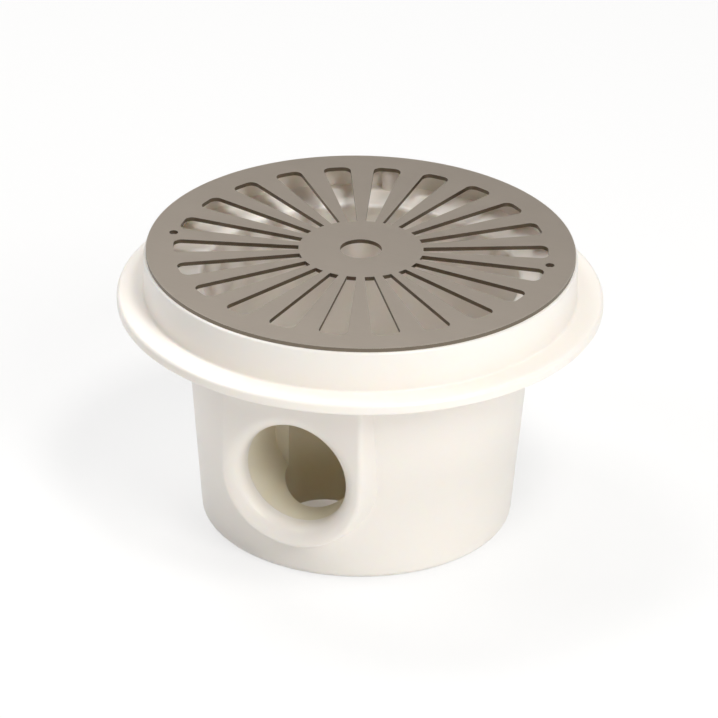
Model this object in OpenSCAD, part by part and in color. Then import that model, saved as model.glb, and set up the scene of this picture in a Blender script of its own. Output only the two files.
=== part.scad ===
/* [Grate] */
// Diameter of the stainless grate
grate_d = 150; // [140:1:160]
// Sheet thickness of the grate
grate_t = 1.5; // [1:0.1:2.5]
// Number of radial slots
slot_n = 22; // [16:2:26]
// Radius at which the slots start
slot_in_r = 21.8; // [20:0.2:26]
// Radius at which the slots end
slot_out_r = 65.5; // [56:0.5:67]
// Angle that one slot spans, in degrees
slot_deg = 8.9; // [6:0.1:11]
// Angle of the first slot from the +X side, in degrees
slot_phase = 22.5; // [0:0.1:30]
// Diameter of the centre hole
hole_d = 14.7; // [10:0.1:20]
// Diameter of the two small holes in the rim
fix_d = 3.2; // [2.5:0.1:5]
// Radius on which the two small holes lie
fix_r = 66.5; // [64:0.5:69]
// Angle of the first small hole from the +X side, in degrees
fix_phase = 13.6; // [5:0.1:17]

/* [Body] */
// Height of the moulded body without the grate
body_h = 99.7; // [94:0.1:112]
// Outer diameter of the collar under the grate
collar_d = 151.6; // [148:0.2:164]
// Wall thickness of the collar
collar_wall = 3.4; // [2.6:0.1:4.5]
// Diameter of the flange
flange_d = 170.4; // [160:0.2:190]
// Thickness of the flange
flange_t = 4; // [3:0.1:6]
// Depth of the flange's top face below the collar's rim
flange_drop = 14.85; // [12:0.05:18]
// Depth of the inner ledge below the collar's rim
ledge_drop = 8.7; // [7:0.1:11]
// Radius of the mouth that the ledge surrounds
mouth_r = 55.6; // [50:0.2:58]
// Outer radius of the bucket at the flange
bucket_top_r = 61.5; // [60:0.1:64]
// Outer radius of the bucket at its bottom
bucket_bot_r = 55.1; // [54:0.1:59]
// Wall thickness at the bottom of the bucket
wall = 3.2; // [2.6:0.1:4]
// Floor thickness of the bucket
floor_t = 3.5; // [2.6:0.1:5]
// Angle of the first wall lug from the +X side, in degrees
lug_phase = 14.3; // [5:0.1:40]
// Width of the four lugs on the collar's inner wall
lug_w = 5.8; // [4:0.1:8]

/* [Outlet] */
// Inner diameter of the outlet
bore_d = 38.4; // [36:0.2:42]
// Height of the outlet's centre above the bottom
bore_z = 39.4; // [38:0.1:44]
// Distance of the outlet's face from the body's axis
face_y = 60.5; // [59:0.1:63]
// Radius of the rounded mouth of the outlet
mouth_q = 5.5; // [3:0.1:6]
// Width of the pad around the outlet, at its face
pad_w = 53.2; // [52.6:0.1:56]

/* [Trap elbow] */
// Wall thickness of the elbow
elbow_t = 2.5; // [2:0.1:3]
// Inner diameter of the dip tube
dip_d = 28; // [24:0.5:34]
// Height of the dip tube's lower end above the body's bottom
dip_z = 8; // [7.8:0.1:12]
// Length of the elbow's end that sits in the body's socket
plug_l = 6; // [4:0.1:7]
// Clearance between that end and the socket, per side
socket_gap = 0.1; // [0.05:0.05:0.3]

/* [Hidden] */
$fn = 96;

grate_r = grate_d / 2;
collar_r = collar_d / 2;
flange_r = flange_d / 2;
bore_r = bore_d / 2;
dip_r = dip_d / 2;
flange_z = body_h - flange_drop;       // top face of the flange
flange_b = flange_z - flange_t;        // underside of the flange
ledge_z = body_h - ledge_drop;         // top face of the ledge
ledge_t = 3;                           // thickness of the ledge
bottom_q = 2.4;                        // outer rounding of the bucket's bottom
rib_n = 12;                            // ribs in the groove under the ledge
rib_w = 2.4;
pad_edge = 1.8;                        // rounding of the pad's outer edge
pad_draft = 0.25;                      // slope of the pad's sides
lip_q = min(mouth_q, pad_w / 2 - pad_edge - 0.1 - bore_r);
elbow_r = bore_r + elbow_t;            // outer radius of the elbow's horizontal tube
socket_r = elbow_r + socket_gap;       // radius of the body's inner socket
socket_t = 2.6;                        // wall of that socket
shoulder_y = face_y - lip_q - 2;       // distance of its shoulder from the axis
socket_end = shoulder_y - plug_l;      // distance of its end from the axis
dip_gap = 1.3;                         // between the socket's end and the dip tube
dip_y = socket_end - dip_gap - dip_r - elbow_t;
dip_top = bore_z + bore_r;             // height of the dip tube's closed end inside
in_bot = bucket_bot_r - wall;          // inner radius of the bucket at its floor
eps = 0.02;

// Points of an arc, centre c, radius r, from angle a0 to a1 in n steps
function arc(c, r, a0, a1, n = 6) =
    [for (i = [0:n]) let (a = a0 + (a1 - a0) * i / n) [c[0] + r * cos(a), c[1] + r * sin(a)]];

// Outer radius of the tapered bucket at height z
function bucket_r(z) = bucket_bot_r + (bucket_top_r - bucket_bot_r) * z / flange_b;

// Inner radius of the bucket at height z
function hollow_r(z) = in_bot + (mouth_r + 0.2 - in_bot) * (z - floor_t) / (ledge_z - floor_t);

// Half section of the moulded shell, bucket, ledge, collar and flange in one
module shell_section() {
    top_in = collar_r - collar_wall;
    groove_top = ledge_z - ledge_t;
    polygon(concat(
        [[0, 0]],
        arc([bucket_bot_r - bottom_q, bottom_q], bottom_q, -90, -3, 6),
        [[bucket_top_r, flange_b]],
        [[bucket_r(groove_top), groove_top], [top_in + 0.3, groove_top], [top_in + 0.3, flange_b]],
        arc([flange_r - 0.8, flange_b + 0.8], 0.8, -90, 0, 4),
        arc([flange_r - 1.2, flange_z - 1.2], 1.2, 0, 90, 5),
        arc([collar_r + 0.8, flange_z + 0.8], 0.8, 270, 180, 4),
        arc([collar_r - 0.9, body_h - 0.9], 0.9, 0, 90, 5),
        [[top_in, body_h], [top_in, ledge_z]],
        arc([mouth_r + 1.5, ledge_z - 1.5], 1.5, 90, 180, 6),
        [[mouth_r + 0.2, groove_top - 1]],
        arc([in_bot - 3, floor_t + 3], 3, 0, -90, 6),
        [[0, floor_t]]
    ));
}

// Half section of the pad around the outlet, width along x and reach along y
module pad_section(y0) {
    w = pad_w / 2;
    polygon(concat(
        [[0, y0], [w + (face_y - pad_edge - y0) * pad_draft, y0]],
        arc([w - pad_edge, face_y - pad_edge], pad_edge, atan(pad_draft), 90, 6),
        [[0, face_y]]
    ));
}

// Pad: round below the outlet's axis, straight sided above it up to the ledge
module pad() {
    y0 = 46;
    translate([0, 0, bore_z]) rotate([90, 0, 0])
        rotate([0, 0, 180]) rotate_extrude(angle = 180) pad_section(y0);
    translate([0, 0, bore_z]) rotate([0, 0, 180]) linear_extrude(ledge_z - ledge_t / 2 - bore_z)
        union() { pad_section(y0); mirror([1, 0]) pad_section(y0); }
}

// The outlet's bore with its rounded mouth
module outlet_bore() {
    translate([0, 0, bore_z]) rotate([90, 0, 0])
        rotate_extrude() polygon(concat(
            [[0, shoulder_y - 1], [bore_r, shoulder_y - 1]],
            arc([bore_r + lip_q, face_y - lip_q], lip_q, 180, 90, 10),
            [[bore_r + lip_q, face_y + 1], [0, face_y + 1]]
        ));
}

// Solid that fills the bucket's hollow from the floor up to the ledge
module bucket_hollow() {
    translate([0, 0, floor_t])
        cylinder(h = ledge_z - floor_t, r1 = in_bot, r2 = mouth_r + 0.2);
}

module body() {
    color("#f1efe9")
    difference() {
        union() {
            rotate_extrude($fn = 144) shell_section();
            // Lugs on the collar's inner wall, from the ledge up to the rim
            for (i = [0:3]) rotate([0, 0, lug_phase + 90 * i])
                translate([0, 0, ledge_z - eps]) intersection() {
                    linear_extrude(body_h - ledge_z + eps) union() {
                        translate([collar_r - collar_wall - lug_w * 0.3, 0]) circle(d = lug_w, $fn = 32);
                        translate([collar_r - collar_wall - lug_w * 0.3, -lug_w / 2])
                            square([lug_w * 0.3 + 1, lug_w]);
                    }
                    cylinder(h = body_h, r = collar_r - 1.5);
                }
            // Ribs in the groove under the ledge
            for (i = [0:rib_n - 1]) rotate([0, 0, 90 + (i + 0.5) * 360 / rib_n])
                translate([bucket_r(flange_b) - 1, -rib_w / 2, flange_b])
                    cube([collar_r - bucket_r(flange_b), rib_w, ledge_z - ledge_t / 2 - flange_b]);
            // The pad stands on the bucket's wall, outside its hollow
            difference() { pad(); bucket_hollow(); }
            // Socket inside the bucket that carries the trap elbow
            intersection() {
                translate([0, -socket_end, bore_z]) rotate([90, 0, 0])
                    cylinder(h = face_y - socket_end, r = socket_r + socket_t);
                cylinder(h = flange_b, r1 = bucket_bot_r - 1, r2 = bucket_top_r - 1);
            }
        }
        outlet_bore();
        translate([0, -socket_end + 1, bore_z]) rotate([90, 0, 0])
            cylinder(h = shoulder_y - socket_end + 1, r = socket_r);
    }
}

module trap_elbow() {
    tube_r = dip_r + elbow_t;
    cap_top = dip_top + elbow_t + 0.6;
    round_q = 4;
    plug_y = shoulder_y - socket_gap;
    color("#e9e7e0")
    difference() {
        union() {
            // Horizontal tube, its end sits in the body's socket
            translate([0, -dip_y + elbow_t, bore_z]) rotate([90, 0, 0])
                cylinder(h = plug_y - dip_y + elbow_t, r = elbow_r);
            // Dip tube with a rounded closed end
            translate([0, -dip_y, 0]) rotate_extrude() polygon(concat(
                [[0, dip_z], [tube_r, dip_z]],
                arc([tube_r - round_q, cap_top - round_q], round_q, 0, 90, 6),
                [[0, cap_top]]
            ));
        }
        // Bore of the horizontal tube
        translate([0, -dip_y, bore_z]) rotate([90, 0, 0]) cylinder(h = plug_y - dip_y + 1, r = bore_r);
        // Inside of the dip tube
        translate([0, -dip_y, dip_z - 1]) cylinder(h = dip_top - dip_z + 1, r = dip_r);
    }
}

// One slot: radial sides, a round-cornered outer end, a straight inner end
module slot() {
    h = slot_deg / 2;
    q = 2.8;
    union() {
        intersection() {
            polygon([[0, 0], [90, 90 * tan(h)], [90, -90 * tan(h)]]);
            difference() { circle(r = slot_out_r - q); circle(r = slot_in_r); }
        }
        for (s = [-1, 1])
            rotate([0, 0, s * (h - asin(q / (slot_out_r - q)))]) translate([slot_out_r - q, 0]) circle(r = q, $fn = 32);
        intersection() {
            polygon([[0, 0], [90, 90 * tan(h - asin(q / (slot_out_r - q)))], [90, -90 * tan(h - asin(q / (slot_out_r - q)))]]);
            difference() { circle(r = slot_out_r); circle(r = slot_out_r - 2 * q); }
        }
    }
}

module grate() {
    color("#aaa49a")
    translate([0, 0, body_h]) difference() {
        cylinder(h = grate_t, r = grate_r, $fn = 144);
        translate([0, 0, -1]) linear_extrude(grate_t + 2)
            for (i = [0:slot_n - 1]) rotate([0, 0, slot_phase + i * 360 / slot_n]) slot();
        translate([0, 0, -1]) cylinder(h = grate_t + 2, d = hole_d, $fn = 64);
        for (s = [0, 180]) rotate([0, 0, fix_phase + s])
            translate([fix_r, 0, -1]) cylinder(h = grate_t + 2, d = fix_d, $fn = 24);
    }
}

body();
trap_elbow();
grate();
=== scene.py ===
import math

import bpy
from mathutils import Matrix, Vector

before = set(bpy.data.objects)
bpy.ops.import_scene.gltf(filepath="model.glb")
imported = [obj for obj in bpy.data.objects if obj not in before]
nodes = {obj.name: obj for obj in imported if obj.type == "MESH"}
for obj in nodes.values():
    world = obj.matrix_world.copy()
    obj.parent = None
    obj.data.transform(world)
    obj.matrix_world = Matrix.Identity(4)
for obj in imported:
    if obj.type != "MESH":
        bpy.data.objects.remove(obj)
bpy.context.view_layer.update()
scene = bpy.context.scene

# ---------------------------------------------------------------- named values
# Lengths are in metres, angles in degrees, colours in linear RGB.

# How many lumps of noise go into a metre
CLOUDS = 22.0
PATCHES = 60.0
GRAIN = 900.0
BRUSHING = 55.0
FLOOR_CLOUDS = 3.0
# How much closer the brushing lies along each axis, which draws it out into lines along X
BRUSH_STRETCH = (1, 60, 1)

PLASTIC_IOR = 1.5
# How far the painted highlight along the edges reaches
PLASTIC_EDGE = 0.0007
STEEL_EDGE = 0.00025

FLOOR_SIZE = 14
# The share of plain white in what is seen of the floor
FLOOR_WHITE = 0.68
WORLD_COLOR = (1.0, 0.99, 0.97, 1)
# The world's strength as a light, and where it is seen or mirrored
WORLD_AS_LIGHT = 0.02
WORLD_IN_VIEW = 0.12

LAMP_AIM = (0, 0, 0.06)
LAMP_DISTANCE = 1.8
# Each lamp's name, azimuth, elevation, width, watts and colour
LAMPS = (
    ("key", 60, 65, 0.4, 13.2, (1.0, 0.985, 0.955)),
    ("key low", 55, 40, 0.5, 9.2, (1.0, 0.985, 0.955)),
    ("side", 62, 22, 0.8, 7.5, (1.0, 0.985, 0.96)),
    ("fill", -60, 45, 0.6, 6.5, (1.0, 0.975, 0.975)),
    ("fill behind", -110, 60, 0.6, 9.8, (1, 1, 1)),
    ("back", 202, 60, 0.8, 5.2, (1, 1, 1)),
)

CAMERA_AIM = (0, 0, 0.0577)
CAMERA_AZIMUTH = 22.5
CAMERA_ELEVATION = 27.76
CAMERA_DISTANCE = 1.931
CAMERA_ROLL = 1.0
# The furthest thing that the camera shows
CAMERA_REACH = 50
LENS_MM = 274.7
SENSOR_MM = 36


# ---------------------------------------------------------------- shader nodes

def add_node(nt, kind, inputs, **settings):
    """Adds a node. Each input is a plain value, or the output of another node to link from."""
    node = nt.nodes.new("ShaderNode" + kind)
    for setting, value in settings.items():
        setattr(node, setting, value)
    for socket, value in inputs.items():
        if isinstance(value, bpy.types.NodeSocket):
            nt.links.new(value, node.inputs[socket])
        else:
            node.inputs[socket].default_value = value
    return node


def new_material(name):
    mat = bpy.data.materials.new(name)
    mat.use_nodes = True
    mat.node_tree.nodes.clear()
    return mat, mat.node_tree


def principled(nt, inputs):
    """A Principled shader with those inputs."""
    return add_node(nt, "BsdfPrincipled", inputs).outputs["BSDF"]


def surface(nt, shader):
    """Makes that shader the material's surface."""
    add_node(nt, "OutputMaterial", {"Surface": shader})


def object_coords(nt, scale=(1, 1, 1)):
    tex = add_node(nt, "TexCoord", {})
    return add_node(nt, "Mapping", {"Scale": scale, "Vector": tex.outputs["Object"]}).outputs["Vector"]


def noise(nt, vector, scale, detail=3.0, rough=0.5):
    inputs = {"Scale": scale, "Detail": detail, "Roughness": rough, "Vector": vector}
    return add_node(nt, "TexNoise", inputs).outputs["Fac"]


def spread(nt, fac, at_0, at_1):
    """Turns 0 to 1 into at_0 to at_1."""
    return add_node(nt, "MapRange", {"To Min": at_0, "To Max": at_1, "Value": fac}).outputs["Result"]


def mix_color(nt, fac, a, b):
    """Goes from a to b by fac. Each is a plain RGB colour or the output of another node."""
    a, b = (c if isinstance(c, bpy.types.NodeSocket) else (*c, 1) for c in (a, b))
    return add_node(nt, "Mix", {"A": a, "B": b, "Factor": fac}, data_type="RGBA").outputs["Result"]


def bump(nt, height, strength, distance):
    inputs = {"Strength": strength, "Distance": distance, "Height": height}
    return add_node(nt, "Bump", inputs).outputs["Normal"]


def edge_mask(nt, radius, sharp, flat):
    """1 on edges and 0 on flat and gently curved faces.

    Rounding the edges by radius turns the normal near them. The mask is 0 where the cosine of that
    turn is flat or more, and 1 where it is sharp or less.
    """
    bevel = add_node(nt, "Bevel", {"Radius": radius}, samples=6)
    true = add_node(nt, "NewGeometry", {})
    normals = {0: bevel.outputs["Normal"], 1: true.outputs["Normal"]}
    cosine = add_node(nt, "VectorMath", normals, operation="DOT_PRODUCT").outputs["Value"]
    limits = {"From Min": flat, "From Max": sharp, "Value": cosine}
    return add_node(nt, "MapRange", limits).outputs["Result"]


def upright_mask(nt, most):
    """0 on level faces, up to most on upright ones."""
    tex = add_node(nt, "TexCoord", {})
    split = add_node(nt, "SeparateXYZ", {"Vector": tex.outputs["Normal"]})
    level = add_node(nt, "Math", {0: split.outputs["Z"]}, operation="ABSOLUTE")
    return spread(nt, level.outputs[0], most, 0.0)


def seen_rays(nt):
    """1 for rays that the camera sees, straight, mirrored or through a surface, and 0 for the rest."""
    path = add_node(nt, "LightPath", {})
    total = path.outputs["Is Camera Ray"]
    for other in ("Is Glossy Ray", "Is Transmission Ray"):
        both = {0: total, 1: path.outputs[other]}
        total = add_node(nt, "Math", both, operation="ADD", use_clamp=True).outputs[0]
    return total


# ---------------------------------------------------------------- materials

def plastic(name, tint, shade, edge_highlight, rough, translucence, radius):
    """Moulded plastic: faint clouds of colour, a fine grain and paler edges, which are a painted highlight."""
    mat, nt = new_material(name)
    v = object_coords(nt)
    clouds = mix_color(nt, noise(nt, v, CLOUDS, detail=4.0, rough=0.55), tint, shade)
    # Paler edges: a painted highlight mixed into the base colour
    edge = spread(nt, edge_mask(nt, PLASTIC_EDGE, sharp=0.90, flat=0.995), 0.0, 0.5)
    surface(nt, principled(nt, {
        "Base Color": mix_color(nt, edge, clouds, edge_highlight),
        "Roughness": spread(nt, noise(nt, v, PATCHES), rough - 0.04, rough + 0.06),
        "Normal": bump(nt, noise(nt, v, GRAIN, detail=2.0), strength=0.05, distance=0.0002),
        "IOR": PLASTIC_IOR,
        "Subsurface Weight": translucence,
        "Subsurface Radius": radius,
        "Subsurface Scale": 0.8,
    }))
    return mat


def body_plastic():
    """The off-white plastic of the moulded body."""
    return plastic("body_plastic", tint=(0.945, 0.902, 0.856), shade=(0.925, 0.881, 0.832),
                   edge_highlight=(0.96, 0.935, 0.895), rough=0.34, translucence=0.22, radius=(0.006, 0.0042, 0.0027))


def elbow_plastic():
    """The elbow's plastic, tinted yellower than the body: painted shade, standing in for the warm cast of the
    shaded interior.
    """
    return plastic("elbow_plastic", tint=(0.87, 0.81, 0.67), shade=(0.83, 0.765, 0.62),
                   edge_highlight=(0.89, 0.84, 0.72), rough=0.42, translucence=0.35, radius=(0.006, 0.0045, 0.0028))


def stainless():
    """Fine brushed steel sheet: painted shade darkening the upright slot walls and a painted highlight line
    along the edges.
    """
    mat, nt = new_material("stainless")
    brush = noise(nt, object_coords(nt, BRUSH_STRETCH), BRUSHING, detail=5.0, rough=0.7)
    face = mix_color(nt, brush, (0.57, 0.50, 0.425), (0.65, 0.575, 0.495))
    # Upright slot walls darkened: painted shade, as they face away from the light
    shaded_walls = mix_color(nt, upright_mask(nt, most=0.85), face, (0.13, 0.105, 0.072))
    # Paler edges: a painted highlight, the glint along the sheet's edges
    edge = spread(nt, edge_mask(nt, STEEL_EDGE, sharp=0.85, flat=0.99), 0.0, 0.6)
    surface(nt, principled(nt, {
        "Base Color": mix_color(nt, edge, shaded_walls, (0.86, 0.80, 0.72)),
        "Metallic": 1.0,
        "Roughness": spread(nt, brush, 0.36, 0.48),
        "Normal": bump(nt, brush, strength=0.06, distance=0.0001),
    }))
    return mat


def floor_white():
    """Pale matt floor. Plain white is mixed into what is seen of it, which keeps a part of the shadow."""
    mat, nt = new_material("floor")
    color = mix_color(nt, noise(nt, object_coords(nt), FLOOR_CLOUDS), (0.93, 0.93, 0.925), (0.95, 0.95, 0.945))
    matt = principled(nt, {"Base Color": color, "Roughness": 0.9})
    glow = add_node(nt, "Emission", {"Color": (1, 1, 1, 1), "Strength": 1.0}).outputs["Emission"]
    share = spread(nt, seen_rays(nt), 0.0, FLOOR_WHITE)
    surface(nt, add_node(nt, "MixShader", {"Fac": share, 1: matt, 2: glow}).outputs["Shader"])
    return mat


for name, mat in (("body", body_plastic()), ("trap_elbow", elbow_plastic()), ("grate", stainless())):
    for slot in nodes[name].material_slots:
        slot.material = mat


# ---------------------------------------------------------------- stage

def add_floor():
    bpy.ops.mesh.primitive_plane_add(size=FLOOR_SIZE, location=(0, 0, 0))
    floor = bpy.context.object
    floor.name = "floor"
    floor.data.materials.append(floor_white())


def add_world():
    """A dim, even world, a little brighter where it is seen or mirrored."""
    world = bpy.data.worlds.new("studio")
    scene.world = world
    world.use_nodes = True
    nt = world.node_tree
    background = nt.nodes["Background"]
    background.inputs["Color"].default_value = WORLD_COLOR
    strength = spread(nt, seen_rays(nt), WORLD_AS_LIGHT, WORLD_IN_VIEW)
    nt.links.new(strength, background.inputs["Strength"])


def place(obj, azimuth, elevation, distance, aim):
    """Stands obj at that azimuth (0 in front of -Y, + towards +X) and elevation, looking at aim."""
    a, e = math.radians(azimuth), math.radians(elevation)
    back = Vector((math.sin(a) * math.cos(e), -math.cos(a) * math.cos(e), math.sin(e)))
    obj.location = Vector(aim) + back * distance
    obj.rotation_euler = back.to_track_quat("Z", "Y").to_euler()


def add_lamp(name, azimuth, elevation, width, watts, color):
    data = bpy.data.lights.new(name, "AREA")
    data.shape = "SQUARE"
    data.size = width
    data.energy = watts
    data.color = color
    lamp = bpy.data.objects.new(name, data)
    scene.collection.objects.link(lamp)
    place(lamp, azimuth, elevation, LAMP_DISTANCE, LAMP_AIM)


def add_camera():
    data = bpy.data.cameras.new("camera")
    data.sensor_width = SENSOR_MM
    data.lens = LENS_MM
    data.clip_end = CAMERA_REACH
    camera = bpy.data.objects.new("camera", data)
    scene.collection.objects.link(camera)
    scene.camera = camera
    place(camera, CAMERA_AZIMUTH, CAMERA_ELEVATION, CAMERA_DISTANCE, CAMERA_AIM)
    bpy.context.view_layer.update()
    camera.matrix_world = camera.matrix_world @ Matrix.Rotation(math.radians(CAMERA_ROLL), 4, "Z")


add_floor()
add_world()
for lamp in LAMPS:
    add_lamp(*lamp)
add_camera()
scene.view_settings.view_transform = "Standard"
